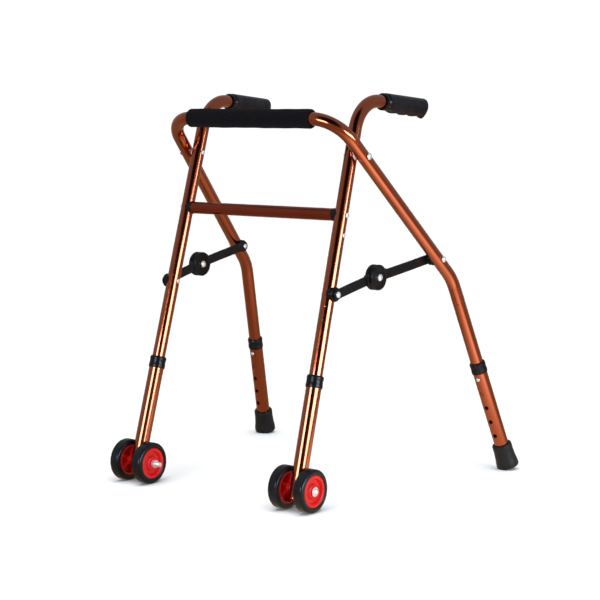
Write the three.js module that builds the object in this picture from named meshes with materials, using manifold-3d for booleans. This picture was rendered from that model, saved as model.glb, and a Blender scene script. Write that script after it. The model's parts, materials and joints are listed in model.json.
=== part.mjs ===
// Folding walker with twin front wheels, a padded front bar and four telescoping legs.
// Millimetres. Z is up, the wheels are at the front (-Y), the walker is mirrored about X = 0.
// The user stands at the back facing -Y, so the +X side is the user's left.

import * as THREE from 'three';
import { mergeVertices } from 'three/addons/utils/BufferGeometryUtils.js';
import Module from 'manifold-3d';

const wasm = await Module();
wasm.setup();

// Fit between neighbouring pieces
const GAP = 0.3;

// Round tubes of the two frames and the sleeves that lengthen the legs
const TUBE_R = 11.1;
const TUBE_BORE_R = 9.7;
const SLEEVE_R = 12.7;
const SLEEVE_BORE_R = 11.5;
const TUBE_SIDES = 16;
const BEND_STEPS = 5;

// Front frame, left side: each leg and its handle are one bent tube
const LEG_FOOT = new THREE.Vector3(174.5, -240.2, 0);
const LEG_CORNER = new THREE.Vector3(164.9, -50.5, 656.7);
const HANDLE_END = new THREE.Vector3(173.7, 108.0, 643.0);
const HANDLE_BEND_R = 62;

// Rear frame, left side: the padded bar, both side tubes and both rear legs are one bent tube
const REAR_FOOT = new THREE.Vector3(279.5, 248.7, 0);
const REAR_KNEE = new THREE.Vector3(230.4, 131.5, 347.1);
const REAR_CORNER = new THREE.Vector3(180.3, -136.4, 623.9);
const KNEE_BEND_R = 80;
const BAR_BEND_R = 56;

// Heights of the cross holes through the tubes
const PIVOT_Z = 563.0;
const CROSSBAR_Z = 467.5;
const RIVET_Z = 434.9;
const BRACE_FRONT_Z = 340.9;
const BRACE_REAR_Z = 383.7;

// Telescoping legs, measured along the leg from the floor
const HOLE_PITCH = 27.6;
const HOLE_COUNT = 5;
const HOLE_R = 4.0;
const TUBE_TAIL = 37;
const FRONT_HOLE_S = 190.8;
const FRONT_SLEEVE_FROM = 20;
const REAR_HOLE_S = 181.1;
const REAR_SLEEVE_FROM = 18.0;
const SLEEVE_ABOVE_HOLE = 26;

// Small dome on each leg that stops the collar at the shortest setting, facing forwards and to the left
const FRONT_STOP_S = 333.4;
const REAR_STOP_S = 323.8;
const STOP_R = 1.8;
const STOP_H = 0.8;
const STOP_TURN = 22 * Math.PI / 180;

// Locking collars on the sleeves
const COLLAR_R = 14.1;
const COLLAR_FROM_HOLE = 9.5;
const COLLAR_LENGTH = 20.5;

// Snap buttons
const BUTTON_R = 3.6;
const BUTTON_FROM = 7.2;
const BUTTON_TO = 14.9;
const BUTTON_FLANGE_R = 4.5;
const BUTTON_SEAT_R = 3.9;

// Crossbar between the front legs
const CROSSBAR_R = 10.3;
const CROSSBAR_BORE_R = 9.0;
const CROSSBAR_HALF = 152.4;
const END_PLUG_LENGTH = 9;

// Bolts and rivets; a head is [radius, height]
const BOLT_R = 3.0;
const BOLT_HOLE_R = 3.3;
const PIVOT_HEAD = [5.7, 3.2];
const BRACE_HEAD = [5.2, 3.8];
const CROSSBAR_HEAD = [4.3, 2.4];
const RIVET_HEAD = [3.6, 1.4];
const CENTRE_HEAD = [6.0, 4.2];
const FLAT_HEAD = [3.9, 1.4];

// Foam pad on the front bar
const PAD_R = 16;
const PAD_HALF = 131;

// Hand grips, measured along the handle from the front rim
const GRIP_FRONT_Y = 7.8;
const GRIP_RIM_R = 14.6;
const GRIP_HALF_WIDTH = 15.0;
const GRIP_TOP = 15.2;
const GRIP_NECK = 13.2;
const GRIP_KEEL = 20.2;
const GRIP_RIDGES = [[31, 17.2, 45.5], [57, 18.0, 73.5], [84.5, 17.8, 102]];
const GRIP_VALLEY = 15.0;
const GRIP_LENGTH = 111.5;

// Folding side braces
const BRACE_CENTRE = new THREE.Vector3(194.0, -44.1, 361.7);
const DISC_R = 21.4;
const DISC_EDGE = 2;
const DISC_THICKNESS = 7.3;
const DISC_GAP = 0.5;
const LINK_WIDTH = 16.3;
const LINK_THICKNESS = 3.6;
const LINK_TIP_R = 8.8;
const SADDLE_R = 12.4;
const SADDLE_STEP = 1.1;
const FRONT_SADDLE_TO = 184.2;
const REAR_SADDLE_FROM = 208.8;

// Front wheels
const WHEEL_R = 35.5;
const WHEEL_WIDTH = 19.6;
const WHEEL_OFFSET = 25.3;
const HUB_R = 26;
const AXLE_R = 4.0;
const AXLE_HOLE_R = 4.3;
const AXLE_TAIL = 16.5;
const NUT_R = 6.9;
const NUT_H = 6;

// Rear tips
const TIP_BASE_R = 20;
const TIP_RIM_R = 17.2;
const TIP_RIM_S = 50.3;
const TIP_SOLE_S = 5.8;
const TIP_FLOOR = 10;

const bronze = material(0x9c4a2c, 0.28, 0.95);
const bronzeDark = material(0x6f2a1c, 0.28, 0.95);
const black = material(0x17171a, 0.55, 0.0);
const rubber = material(0x1b1b1d, 0.8, 0.0);
const foam = material(0x141416, 0.95, 0.0);
const steel = material(0xc9ccd0, 0.3, 1.0);
const red = material(0xd8231f, 0.35, 0.0);
const white = material(0xe9e9ea, 0.35, 0.0);

function material(color, roughness, metalness) {
  return new THREE.MeshStandardMaterial({ color, roughness, metalness });
}

// Solids ---------------------------------------------------------------

function solid(geometry) {
  const bare = geometry.clone();
  bare.deleteAttribute('normal');
  bare.deleteAttribute('uv');
  const merged = mergeVertices(bare, 1e-4);
  const mesh = new wasm.Mesh({
    numProp: 3,
    vertProperties: new Float32Array(merged.attributes.position.array),
    triVerts: new Uint32Array(merged.index.array),
  });
  return new wasm.Manifold(mesh);
}

function geometryOf(manifold) {
  const mesh = manifold.getMesh();
  const geometry = new THREE.BufferGeometry();
  geometry.setAttribute('position', new THREE.BufferAttribute(mesh.vertProperties, 3));
  geometry.setIndex(new THREE.BufferAttribute(mesh.triVerts, 1));
  return geometry;
}

function cut(geometry, tools) {
  return geometryOf(tools.reduce((body, tool) => body.subtract(solid(tool)), solid(geometry)));
}

function join(geometries) {
  return geometryOf(geometries.map(solid).reduce((body, other) => body.add(other)));
}

function common(first, second) {
  return geometryOf(solid(first).intersect(solid(second)));
}

function named(name, geometry, look) {
  const mesh = new THREE.Mesh(geometry, look);
  mesh.name = name;
  return mesh;
}

function circle(radius, sides) {
  return Array.from({ length: sides }, (_, i) => {
    const angle = (2 * Math.PI * i) / sides;
    return new THREE.Vector2(radius * Math.cos(angle), radius * Math.sin(angle));
  });
}

function ring(outer, inner, sides) {
  const shape = new THREE.Shape(circle(outer, sides));
  shape.holes.push(new THREE.Path(circle(inner, sides)));
  return shape;
}

// Solid of revolution about X from a list of [x, radius], both ends closed on the axis
function turned(profile, sides) {
  const points = profile.map(([x, radius]) => new THREE.Vector2(radius, x));
  return new THREE.LatheGeometry(points, sides).rotateZ(-Math.PI / 2);
}

function rod(x0, x1, radius, sides) {
  const from = Math.min(x0, x1);
  const to = Math.max(x0, x1);
  return turned([[from, 0], [from, radius], [to, radius], [to, 0]], sides);
}

function rodAt(x0, x1, radius, sides, y, z) {
  return rod(x0, x1, radius, sides).translate(0, y, z);
}

// Cylinder whose axis runs from one point to another
function bar(from, to, radius, sides) {
  const along = to.clone().sub(from);
  const turn = new THREE.Quaternion().setFromUnitVectors(
    new THREE.Vector3(1, 0, 0), along.clone().normalize());
  return rod(0, along.length(), radius, sides).applyQuaternion(turn)
    .translate(from.x, from.y, from.z);
}

// Half outline of a domed head standing on the plane x
function dome(x, towards, [radius, height]) {
  return [
    [x, radius], [x + towards * height * 0.35, radius * 0.95],
    [x + towards * height, radius * 0.45], [x + towards * height, 0],
  ];
}

// Bolt along X from x = inner to x = outer on the left side, with a domed head at each end
function bolt(side, inner, outer, innerHead, outerHead, y, z) {
  const profile = [
    ...dome(inner, -1, innerHead).reverse(), [inner, BOLT_R],
    [outer, BOLT_R], ...dome(outer, 1, outerHead),
  ];
  return facing(turned(profile, 12), side).translate(0, y, z);
}

// Rivet along X with one domed head on the outer side
function rivet(side, inner, outer, head, y, z) {
  const profile = [[inner, 0], [inner, BOLT_R], [outer, BOLT_R], ...dome(outer, 1, head)];
  return facing(turned(profile, 12), side).translate(0, y, z);
}

// Turns a solid of revolution about X, drawn for the left side, to point outwards on its own side
function facing(geometry, side) {
  return side > 0 ? geometry : geometry.rotateY(Math.PI);
}

// Tube paths -----------------------------------------------------------

// Path through given stations, so straight runs take one step and bends take several
class StationPath extends THREE.Curve {
  constructor(stations) {
    super();
    this.stations = stations;
  }

  station(t) {
    return this.stations[Math.round(t * (this.stations.length - 1))];
  }

  getPoint(t) {
    return this.station(t).point.clone();
  }

  getPointAt(u) {
    return this.station(u).point.clone();
  }

  getTangentAt(u) {
    return this.station(u).tangent.clone();
  }
}

function bendStations(before, corner, after, radius) {
  const incoming = corner.clone().sub(before).normalize();
  const outgoing = after.clone().sub(corner).normalize();
  const turn = incoming.angleTo(outgoing);
  const axis = incoming.clone().cross(outgoing).normalize();
  const start = corner.clone().addScaledVector(incoming, -radius * Math.tan(turn / 2));
  const centre = start.clone().addScaledVector(axis.clone().cross(incoming), radius);
  const steps = Math.max(3, Math.round((BEND_STEPS * turn) / (Math.PI / 2)));
  return Array.from({ length: steps + 1 }, (_, i) => {
    const angle = (turn * i) / steps;
    return {
      point: start.clone().sub(centre).applyAxisAngle(axis, angle).add(centre),
      tangent: incoming.clone().applyAxisAngle(axis, angle),
    };
  });
}

function bentTube(corners, radii) {
  const last = corners.length - 1;
  const first = corners[1].clone().sub(corners[0]).normalize();
  const end = corners[last].clone().sub(corners[last - 1]).normalize();
  const stations = [{ point: corners[0], tangent: first }];
  radii.forEach((radius, i) => {
    stations.push(...bendStations(corners[i], corners[i + 1], corners[i + 2], radius));
  });
  stations.push({ point: corners[last], tangent: end });
  return new THREE.ExtrudeGeometry(ring(TUBE_R, TUBE_BORE_R, TUBE_SIDES), {
    steps: stations.length - 1,
    extrudePath: new StationPath(stations),
  });
}

// Places along the frames -----------------------------------------------

function onSide(point, side) {
  return new THREE.Vector3(point.x * side, point.y, point.z);
}

function atHeight(from, to, z) {
  return from.clone().lerp(to, (z - from.z) / (to.z - from.z));
}

function legPoint(side, z) {
  return onSide(atHeight(LEG_FOOT, LEG_CORNER, z), side);
}

function rearTubePoint(side, z) {
  return onSide(atHeight(REAR_KNEE, REAR_CORNER, z), side);
}

// Leg frame: local Z runs up the leg from the floor and local Y points as nearly back as it can
function legFrame(side, foot, top) {
  const up = onSide(top, side).sub(onSide(foot, side)).normalize();
  const back = new THREE.Vector3(0, 1, 0).addScaledVector(up, -up.y).normalize();
  const across = back.clone().cross(up);
  return new THREE.Matrix4().makeBasis(across, back, up).setPosition(onSide(foot, side));
}

function frontLegFrame(side) {
  return legFrame(side, LEG_FOOT, LEG_CORNER);
}

function rearLegFrame(side) {
  return legFrame(side, REAR_FOOT, REAR_KNEE);
}

// Short cylinder across a leg in its own frame, from the axis towards local Y times `towards`
function legCross(frame, towards, s, from, to, radius) {
  const start = new THREE.Vector3(0, towards * from, s).applyMatrix4(frame);
  const end = new THREE.Vector3(0, towards * to, s).applyMatrix4(frame);
  return bar(start, end, radius, 8);
}

// Stop dome standing on a leg, with its foot sunk into the tube wall
function legStop(frame, s) {
  const profile = [[0, 0], [0, STOP_R], [0.7, STOP_R], [0.4 + STOP_H, STOP_R * 0.55], [0.4 + STOP_H, 0]];
  return turned(profile, 8).translate(TUBE_R - 0.5, 0, 0).rotateZ(STOP_TURN - Math.PI / 2)
    .translate(0, 0, s).applyMatrix4(frame);
}

function crossHole(point, radius) {
  return rodAt(point.x - 60, point.x + 60, radius, 12, point.y, point.z);
}

function rivetHole(side) {
  const leg = legPoint(side, RIVET_Z);
  return rodAt(leg.x, leg.x + side * 20, BOLT_HOLE_R, 12, leg.y, leg.z);
}

// X of the near or far wall of a slanted tube, with room for a flat-faced head
function wallX(point, towards, room) {
  return point.x + towards * (TUBE_R + room);
}

// Front frame ------------------------------------------------------------

function frontTube(side) {
  const frame = frontLegFrame(side);
  const tail = new THREE.Vector3(0, 0, FRONT_HOLE_S - TUBE_TAIL).applyMatrix4(frame);
  const tube = bentTube(
    [tail, onSide(LEG_CORNER, side), onSide(HANDLE_END, side)], [HANDLE_BEND_R]);
  return cut(join([tube, legStop(frame, FRONT_STOP_S)]), [
    crossHole(legPoint(side, PIVOT_Z), BOLT_HOLE_R),
    crossHole(legPoint(side, CROSSBAR_Z), BOLT_HOLE_R),
    rivetHole(side),
    crossHole(legPoint(side, BRACE_FRONT_Z), BOLT_HOLE_R),
    legCross(frame, 1, FRONT_HOLE_S, 4, 20, BUTTON_SEAT_R),
  ]);
}

function legClearance(side) {
  return bar(onSide(LEG_FOOT, side), onSide(LEG_CORNER, side), TUBE_R + GAP, TUBE_SIDES);
}

function rearTubeClearance(side) {
  return bar(onSide(REAR_KNEE, side), onSide(REAR_CORNER, side), TUBE_R + GAP, TUBE_SIDES);
}

function crossbar() {
  const line = legPoint(1, CROSSBAR_Z);
  const shape = ring(CROSSBAR_R, CROSSBAR_BORE_R, TUBE_SIDES);
  return new THREE.ExtrudeGeometry(shape, { depth: 2 * CROSSBAR_HALF, bevelEnabled: false, steps: 1 })
    .translate(0, 0, -CROSSBAR_HALF).rotateY(Math.PI / 2).translate(0, line.y, line.z);
}

// Plastic end piece that plugs the crossbar and hugs the leg
function crossbarEnd(side) {
  const leg = legPoint(side, CROSSBAR_Z);
  const inner = CROSSBAR_HALF - END_PLUG_LENGTH;
  const outer = CROSSBAR_HALF + GAP;
  const plug = rodAt(side * inner, side * (outer + 2), CROSSBAR_BORE_R - 0.4, TUBE_SIDES, leg.y, leg.z);
  const saddle = rodAt(side * outer, leg.x - side * 3, CROSSBAR_R + 0.6, TUBE_SIDES, leg.y, leg.z);
  return cut(join([plug, saddle]), [legClearance(side), crossHole(leg, BOLT_HOLE_R)]);
}

function crossbarBolt(side) {
  const leg = legPoint(1, CROSSBAR_Z);
  const from = CROSSBAR_HALF - END_PLUG_LENGTH + 1.5;
  return rivet(side, from, wallX(leg, 1, 0.5), CROSSBAR_HEAD, leg.y, leg.z);
}

// Rivet through the outer wall of the leg below the crossbar
function legRivet(side) {
  const leg = legPoint(1, RIVET_Z);
  return rivet(side, leg.x + 4, wallX(leg, 1, 0.5), RIVET_HEAD, leg.y, leg.z);
}

// Frame with local X along the handle towards its rear end and local Z up
function gripFrame(side) {
  const corner = onSide(LEG_CORNER, side);
  const end = onSide(HANDLE_END, side);
  const along = end.clone().sub(corner).normalize();
  const up = new THREE.Vector3(0, 0, 1).addScaledVector(along, -along.z).normalize();
  const across = up.clone().cross(along);
  const front = corner.clone().lerp(end, (GRIP_FRONT_Y - corner.y) / (end.y - corner.y));
  return new THREE.Matrix4().makeBasis(along, across, up).setPosition(front);
}

// Side outline of the grip body: straight top, ridges that rise steeply at the front and fall away
// gently behind, and a deep tooth at the rear end
function gripOutline() {
  const points = [[3, GRIP_TOP], [GRIP_LENGTH - 2.5, GRIP_TOP], [GRIP_LENGTH, GRIP_TOP - 2]];
  points.push([GRIP_LENGTH, -GRIP_KEEL + 0.8], [GRIP_LENGTH - 0.8, -GRIP_KEEL]);
  [...GRIP_RIDGES].reverse().forEach(([crest, depth, notch]) => {
    points.push([notch, -GRIP_VALLEY], [crest + 6.5, -depth + 0.8]);
    points.push([crest, -depth], [crest - 5, -depth + 0.6]);
  });
  points.push([17, -GRIP_NECK], [3, -GRIP_NECK]);
  return new THREE.Shape(points.map(([s, t]) => new THREE.Vector2(s, t)));
}

// Cross-section of the grip: round above the tube, drawn down to a narrow keel below it
function gripSection() {
  return new THREE.Shape(Array.from({ length: 24 }, (_, i) => {
    const angle = (-2 * Math.PI * i) / 24;
    const [across, up] = [Math.cos(angle), Math.sin(angle)];
    const power = up > 0 ? 0.85 : 1.3;
    const height = up > 0 ? GRIP_TOP * up : -(GRIP_KEEL + 0.4) * Math.abs(up) ** power;
    return new THREE.Vector2(height, GRIP_HALF_WIDTH * Math.sign(across) * Math.abs(across) ** power);
  }));
}

function grip(side) {
  const outline = new THREE.ExtrudeGeometry(gripOutline(), {
    depth: 60, bevelEnabled: false, steps: 1,
  }).translate(0, 0, -30).rotateX(Math.PI / 2);
  const column = new THREE.ExtrudeGeometry(gripSection(), {
    depth: GRIP_LENGTH + 10, bevelEnabled: false, steps: 1,
  }).rotateY(Math.PI / 2).rotateX(Math.PI).translate(-2, 0, 0);
  const rim = turned([[0, 0], [0, GRIP_RIM_R - 1], [1, GRIP_RIM_R], [3.2, GRIP_RIM_R], [5, 13.6], [5, 0]], 20);
  const socket = rod(-5, 102, TUBE_R + GAP, TUBE_SIDES);
  return cut(join([common(outline, column), rim]), [socket]).applyMatrix4(gripFrame(side));
}

// Washer between the two frames: hollowed on the leg side, flat on the turning side
function pivotSpacer(side) {
  const leg = legPoint(side, PIVOT_Z);
  const rear = rearTubePoint(side, PIVOT_Z);
  const face = rear.x - side * (TUBE_R + 1.2);
  const collar = rodAt(leg.x + side * 8, face, 7, 16, leg.y, leg.z);
  return cut(collar, [legClearance(side), crossHole(leg, BOLT_HOLE_R)]);
}

function pivotBolt(side) {
  const leg = legPoint(1, PIVOT_Z);
  const rear = rearTubePoint(1, PIVOT_Z);
  return bolt(side, wallX(leg, -1, 0.5), wallX(rear, 1, 1.3), FLAT_HEAD, PIVOT_HEAD, leg.y, leg.z);
}

// Side braces ------------------------------------------------------------

function braceCentre(side) {
  return onSide(BRACE_CENTRE, side);
}

// Plastic block on the outer side of the front leg that carries the front link
function frontSaddle(side) {
  const leg = legPoint(side, BRACE_FRONT_Z);
  const to = FRONT_SADDLE_TO;
  const block = facing(turned([
    [Math.abs(leg.x) + 5, 0], [Math.abs(leg.x) + 5, SADDLE_R], [to - 4.2, SADDLE_R],
    [to - 3.8, SADDLE_R - SADDLE_STEP], [to - 3, SADDLE_R - SADDLE_STEP], [to - 2.6, SADDLE_R - 0.3],
    [to - 0.6, SADDLE_R - 0.3], [to, SADDLE_R - 1], [to, 0],
  ], 16), side).translate(0, leg.y, leg.z);
  return cut(block, [legClearance(side), crossHole(leg, BOLT_HOLE_R)]);
}

// Plastic block on the inner side of the rear side tube that carries the rear link
function rearSaddle(side) {
  const tube = rearTubePoint(side, BRACE_REAR_Z);
  const block = rodAt(side * REAR_SADDLE_FROM, tube.x - side * 4, SADDLE_R - 1, 16, tube.y, tube.z);
  return cut(block, [rearTubeClearance(side), crossHole(tube, BOLT_HOLE_R)]);
}

// Flat bar from a pivot eye to a disc; x values are the inner faces of the eye and the disc
function link(pivot, eyeX, centre, discX, side) {
  const run = new THREE.Vector2(centre.y - pivot.y, centre.z - pivot.z);
  const length = run.length();
  const barX = discX + (DISC_THICKNESS - LINK_THICKNESS) / 2;
  const strap = new THREE.BoxGeometry(LINK_THICKNESS, length, LINK_WIDTH)
    .translate(LINK_THICKNESS / 2, length / 2, 0);
  const slope = new THREE.Matrix4().set(
    1, (barX - eyeX) / length, 0, eyeX,
    0, 1, 0, 0,
    0, 0, 1, 0,
    0, 0, 0, 1,
  );
  const eye = rod(eyeX, eyeX + LINK_THICKNESS, LINK_TIP_R, 16);
  const discTo = discX + DISC_THICKNESS;
  const disc = turned([
    [discX, 0], [discX, DISC_R - DISC_EDGE], [discX + DISC_EDGE * 0.4, DISC_R - DISC_EDGE * 0.3],
    [discX + DISC_EDGE, DISC_R], [discTo - DISC_EDGE, DISC_R],
    [discTo - DISC_EDGE * 0.4, DISC_R - DISC_EDGE * 0.3], [discTo, DISC_R - DISC_EDGE], [discTo, 0],
  ], 24).translate(0, length, 0);
  const topEdge = (Math.sign(run.x) * LINK_WIDTH) / 2;
  const nub = new THREE.BoxGeometry(LINK_THICKNESS, 6, 3)
    .translate(barX + LINK_THICKNESS / 2, length - DISC_R - 2, topEdge);
  const flat = cut(join([strap.applyMatrix4(slope), eye, disc, nub]), [rod(-20, 300, BOLT_HOLE_R, 12)]);
  const turned90 = flat.rotateX(Math.atan2(run.y, run.x));
  const placed = side > 0 ? turned90 : mirrored(turned90);
  return placed.translate(0, pivot.y, pivot.z);
}

// Mirror about X = 0, with the faces turned right side out again
function mirrored(geometry) {
  geometry.scale(-1, 1, 1);
  const index = geometry.index.array;
  for (let i = 0; i < index.length; i += 3) {
    [index[i], index[i + 1]] = [index[i + 1], index[i]];
  }
  return geometry;
}

const INNER_DISC_X = BRACE_CENTRE.x - DISC_THICKNESS - DISC_GAP / 2;
const OUTER_DISC_X = BRACE_CENTRE.x + DISC_GAP / 2;
const FRONT_EYE_X = FRONT_SADDLE_TO + GAP;
const REAR_EYE_X = REAR_SADDLE_FROM - GAP - LINK_THICKNESS;

function frontLink(side) {
  return link(legPoint(1, BRACE_FRONT_Z), FRONT_EYE_X, BRACE_CENTRE, INNER_DISC_X, side);
}

function rearLink(side) {
  const pivot = rearTubePoint(1, BRACE_REAR_Z);
  return link(pivot, REAR_EYE_X, BRACE_CENTRE, OUTER_DISC_X, side);
}

function frontBraceBolt(side) {
  const leg = legPoint(1, BRACE_FRONT_Z);
  const outer = FRONT_EYE_X + LINK_THICKNESS + GAP;
  return bolt(side, wallX(leg, -1, 0.5), outer, FLAT_HEAD, BRACE_HEAD, leg.y, leg.z);
}

function rearBraceBolt(side) {
  const tube = rearTubePoint(1, BRACE_REAR_Z);
  return bolt(side, REAR_EYE_X - 0.9, wallX(tube, 1, 1.3), CROSSBAR_HEAD, BRACE_HEAD, tube.y, tube.z);
}

// Domed rivet head on a disc; `outward` is +1 for the outer disc and -1 for the inner one
function centreHead(side, outward) {
  const centre = braceCentre(side);
  const face = DISC_THICKNESS + DISC_GAP / 2 + GAP;
  const head = facing(turned([[0, 0], ...dome(0, 1, CENTRE_HEAD)], 12), side * outward);
  return head.translate(centre.x + side * outward * face, centre.y, centre.z);
}

// Rear frame -------------------------------------------------------------

function rearTube() {
  const tail = (side) => new THREE.Vector3(0, 0, REAR_HOLE_S - TUBE_TAIL).applyMatrix4(rearLegFrame(side));
  const corners = [
    tail(1), onSide(REAR_KNEE, 1), onSide(REAR_CORNER, 1),
    onSide(REAR_CORNER, -1), onSide(REAR_KNEE, -1), tail(-1),
  ];
  const tube = bentTube(corners, [KNEE_BEND_R, BAR_BEND_R, BAR_BEND_R, KNEE_BEND_R]);
  const holes = [1, -1].flatMap((side) => [
    crossHole(rearTubePoint(side, PIVOT_Z), BOLT_HOLE_R),
    crossHole(rearTubePoint(side, BRACE_REAR_Z), BOLT_HOLE_R),
    legCross(rearLegFrame(side), -1, REAR_HOLE_S, 4, 20, BUTTON_SEAT_R),
  ]);
  const stops = [1, -1].map((side) => legStop(rearLegFrame(side), REAR_STOP_S));
  return cut(join([tube, ...stops]), holes);
}

// Foam sleeve on the front bar, open at both ends, with rounded edges
function foamPad() {
  const bore = TUBE_R + GAP;
  const half = [
    [PAD_HALF, bore], [PAD_HALF, PAD_R - 3], [PAD_HALF - 1.5, PAD_R - 0.8], [PAD_HALF - 4, PAD_R],
  ];
  const outline = [...half.map(([x, r]) => [-x, r]), ...half.reverse(), [-PAD_HALF, bore]];
  return turned(outline, 24).translate(0, REAR_CORNER.y, REAR_CORNER.z);
}

// Telescoping legs -------------------------------------------------------

function sleeve(frame, towards, from, holeS) {
  const to = holeS + SLEEVE_ABOVE_HOLE;
  const tube = new THREE.ExtrudeGeometry(ring(SLEEVE_R, SLEEVE_BORE_R, TUBE_SIDES), {
    depth: to - from, bevelEnabled: false, steps: 1,
  }).translate(0, 0, from).applyMatrix4(frame);
  const holes = Array.from({ length: HOLE_COUNT }, (_, i) => (
    legCross(frame, towards, holeS - i * HOLE_PITCH, 4, 20, HOLE_R)));
  return { tube, holes };
}

function frontSleeve(side) {
  const axle = legPoint(side, WHEEL_R);
  const { tube, holes } = sleeve(frontLegFrame(side), 1, FRONT_SLEEVE_FROM, FRONT_HOLE_S);
  return cut(tube, [...holes, crossHole(axle, AXLE_HOLE_R)]);
}

function rearSleeve(side) {
  const { tube, holes } = sleeve(rearLegFrame(side), -1, REAR_SLEEVE_FROM, REAR_HOLE_S);
  return cut(tube, holes);
}

// Ring around the mouth of a sleeve with a lip that closes down to the inner tube
function collar(frame, holeS) {
  const from = holeS + COLLAR_FROM_HOLE;
  const to = from + COLLAR_LENGTH;
  const step = holeS + SLEEVE_ABOVE_HOLE + GAP;
  const profile = [
    [from, SLEEVE_R + 0.4], [from, COLLAR_R - 0.6], [from + 1, COLLAR_R], [to - 3, COLLAR_R],
    [to, COLLAR_R - 1.4], [to, TUBE_R + 0.4], [step, TUBE_R + 0.4], [step, SLEEVE_R + 0.4],
    [from, SLEEVE_R + 0.4],
  ];
  return turned(profile, TUBE_SIDES).rotateY(-Math.PI / 2).applyMatrix4(frame);
}

function snapButton(frame, towards, s) {
  const pin = turned([
    [BUTTON_FROM, 0], [BUTTON_FROM, BUTTON_FLANGE_R], [BUTTON_FROM + 1, BUTTON_FLANGE_R],
    [BUTTON_FROM + 1, BUTTON_R], [BUTTON_TO - 1.6, BUTTON_R], [BUTTON_TO - 0.5, BUTTON_R * 0.75],
    [BUTTON_TO, BUTTON_R * 0.35], [BUTTON_TO, 0],
  ], 12);
  return pin.rotateZ((towards * Math.PI) / 2).translate(0, 0, s).applyMatrix4(frame);
}

// Rubber cup on a rear sleeve, flared at the bottom and worn flat where it meets the floor
function rearTip(side) {
  const floorS = TIP_SOLE_S + TIP_FLOOR;
  const bore = SLEEVE_R + 0.4;
  const profile = [
    [TIP_SOLE_S, 0], [TIP_SOLE_S, TIP_BASE_R - 1.2], [TIP_SOLE_S + 1.5, TIP_BASE_R],
    [TIP_SOLE_S + 8, TIP_BASE_R - 0.4], [TIP_SOLE_S + 16, TIP_RIM_R + 0.9], [TIP_RIM_S - 3, TIP_RIM_R],
    [TIP_RIM_S, TIP_RIM_R - 1.2], [TIP_RIM_S, bore], [floorS, bore], [floorS, 0],
  ];
  const cup = turned(profile, 24).rotateY(-Math.PI / 2).applyMatrix4(rearLegFrame(side));
  const foot = onSide(REAR_FOOT, side);
  const floor = new THREE.BoxGeometry(90, 90, 20).translate(foot.x, foot.y, -10);
  return cut(cup, [floor]);
}

// Wheels -----------------------------------------------------------------

// Wheel centre; `outer` is +1 for the wheel away from the middle and -1 for the other
function wheelCentre(side, outer) {
  const axle = legPoint(side, WHEEL_R);
  axle.x += side * outer * WHEEL_OFFSET;
  return axle;
}

function tyre(side, outer) {
  const half = WHEEL_WIDTH / 2;
  const inner = HUB_R + GAP;
  const profile = [
    [-half, inner], [-half, WHEEL_R - 4], [-half + 1.6, WHEEL_R - 1.2], [-half + 4.6, WHEEL_R],
    [half - 4.6, WHEEL_R], [half - 1.6, WHEEL_R - 1.2], [half, WHEEL_R - 4], [half, inner],
    [-half, inner],
  ];
  const centre = wheelCentre(side, outer);
  return turned(profile, 24).translate(centre.x, centre.y, centre.z);
}

// Hub with local +X as the smooth outer face and -X as the ribbed face beside the leg
function hub(side, outer) {
  const half = WHEEL_WIDTH / 2;
  const bore = AXLE_R + 0.35;
  const body = turned([
    [-half + 0.6, HUB_R], [half - 0.6, HUB_R], [half - 1.4, 19], [half - 4.8, 16.6],
    [half - 4.2, 8.5], [half - 1.2, 7], [half - 1.2, bore], [-half - 1.8, bore],
    [-half - 1.8, 7], [half - 8.2, 8], [half - 8.2, 22.4], [-half + 0.6, 23.4], [-half + 0.6, HUB_R],
  ], 20);
  const ribs = Array.from({ length: 5 }, (_, i) => (
    new THREE.BoxGeometry(8.6, 17, 2).translate(-half + 6, 15, 0).rotateX((2 * Math.PI * i) / 5)));
  const centre = wheelCentre(side, outer);
  return facing(join([body, ...ribs]), side * outer).translate(centre.x, centre.y, centre.z);
}

// Round-headed bolt through both wheels, its thread standing out of the nut on the inner side
function axleBolt(side) {
  const axle = legPoint(1, WHEEL_R);
  const outer = axle.x + WHEEL_OFFSET + WHEEL_WIDTH / 2 + 0.3;
  const inner = axle.x - WHEEL_OFFSET - WHEEL_WIDTH / 2 - AXLE_TAIL;
  const profile = [
    [inner, 0], [inner, AXLE_R - 0.8], [inner + 1, AXLE_R], [outer, AXLE_R], [outer, 6],
    [outer + 1.2, 5.9], [outer + 3.2, 4.6], [outer + 4.3, 2.4], [outer + 4.3, 0],
  ];
  return facing(turned(profile, 14), side).translate(0, axle.y, axle.z);
}

function axleNut(side) {
  const axle = legPoint(side, WHEEL_R);
  const near = axle.x - side * (WHEEL_OFFSET + WHEEL_WIDTH / 2 + GAP);
  const block = rodAt(near, near - side * NUT_H, NUT_R, 6, axle.y, axle.z);
  return cut(block, [crossHole(axle, AXLE_R + GAP)]);
}

// Assembly ---------------------------------------------------------------

const walker = new THREE.Group();
walker.name = 'front_wheeled_walker';

function put(name, geometry, look) {
  walker.add(named(name, geometry, look));
}

put('rear_frame_tube', rearTube(), bronze);
put('front_bar_foam_pad', foamPad(), foam);
put('front_crossbar', crossbar(), bronzeDark);

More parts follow.
